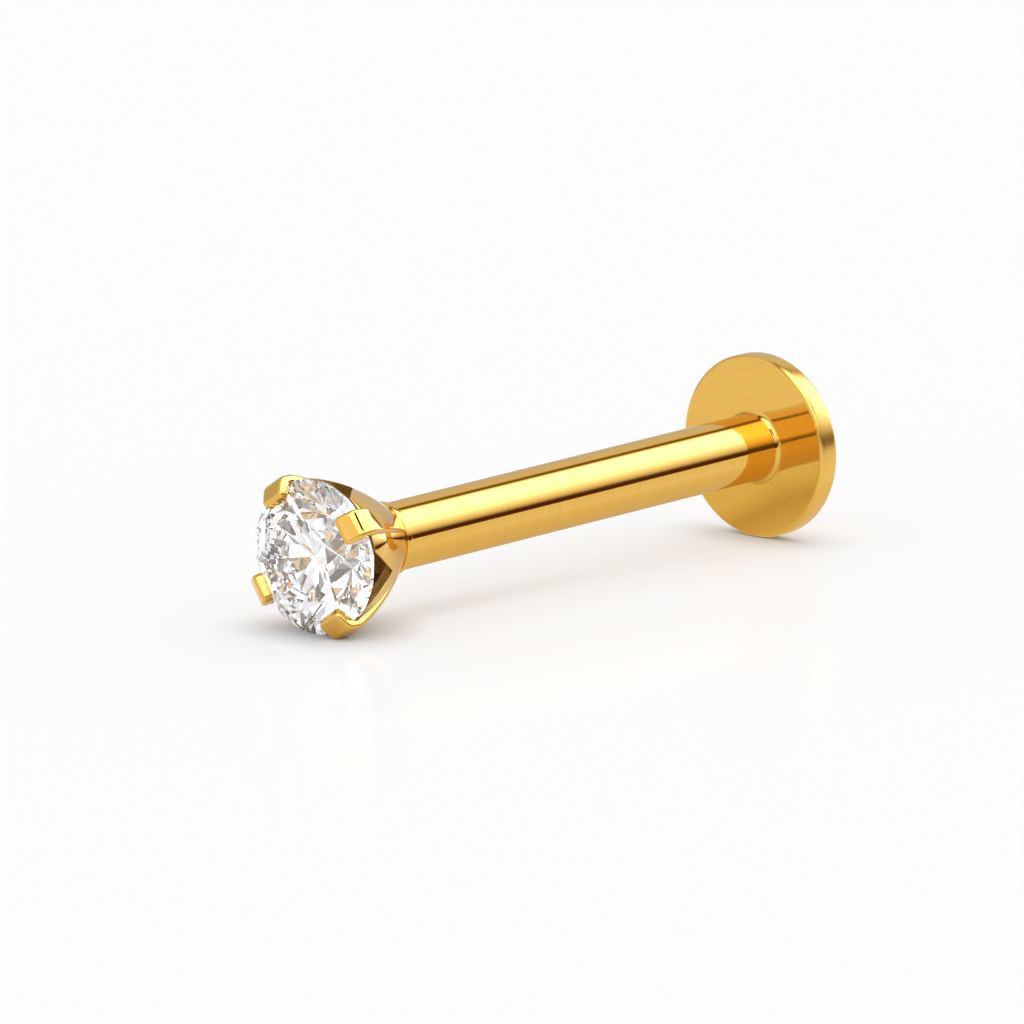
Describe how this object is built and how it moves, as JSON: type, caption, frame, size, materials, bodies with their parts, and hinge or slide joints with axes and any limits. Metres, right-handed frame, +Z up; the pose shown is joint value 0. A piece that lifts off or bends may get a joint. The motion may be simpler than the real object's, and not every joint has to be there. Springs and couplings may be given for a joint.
{
  "type": "labret stud",
  "caption": "Flat-back labret stud: a straight round post with a soldered disc, and a plug-in pronged cup setting that holds a clear round-brilliant gem.",
  "frame": {"origin": "on the surface the stud lies on, under the middle of its bounding box", "axes": "+X along the stud from the gem to the disc, +Z up; the stud's own axis dips 1.5 degrees towards the gem"},
  "size_m": [0.0102, 0.0028, 0.0027],
  "materials": {
    "yellow_gold": "mirror-polished yellow gold",
    "clear_gem": "polished facets, clear and colourless"
  },
  "bodies": {
    "root": {"flat_back_post": "yellow_gold", "gem_setting": "yellow_gold", "stone": "clear_gem"}
  },
  "joints": []
}
